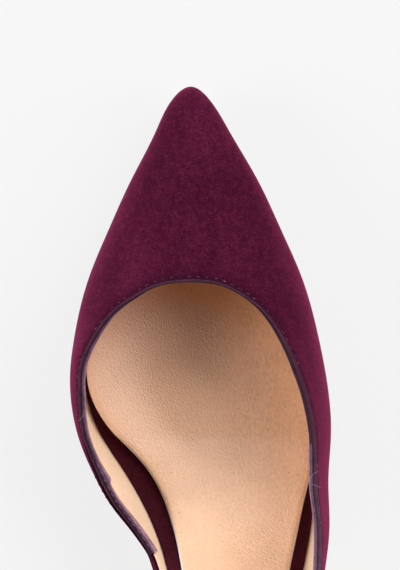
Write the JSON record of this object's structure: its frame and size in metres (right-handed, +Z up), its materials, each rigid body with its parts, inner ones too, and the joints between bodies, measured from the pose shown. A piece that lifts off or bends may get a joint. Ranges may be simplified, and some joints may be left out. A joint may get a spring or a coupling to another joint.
{
  "type": "stiletto pump",
  "caption": "Right-foot suede pump with a pointed toe, bound topline, low-cut inner arch and a slim high heel, open at the throat for the foot.",
  "frame": {"origin": "on the floor, under the middle of the shoe's bounding box", "axes": "+Y from the heel to the toe, +X to the outer side of the foot, +Z up"},
  "size_m": [0.0796, 0.236, 0.1432],
  "materials": {
    "suede": "burgundy suede with a soft nap",
    "binding": "dark purple woven tape",
    "board_cover": "burgundy suede over board",
    "sock_leather": "tan lining leather with a fine grain",
    "sole_leather": "smooth natural sole leather",
    "heel_cover": "burgundy suede with a soft nap",
    "tip_rubber": "matt black"
  },
  "bodies": {
    "root": {"upper": "suede", "topline_binding": "binding", "insole_board": "board_cover", "insole_sock": "sock_leather", "outsole": "sole_leather", "heel": "heel_cover", "heel_tip": "tip_rubber"}
  },
  "joints": []
}
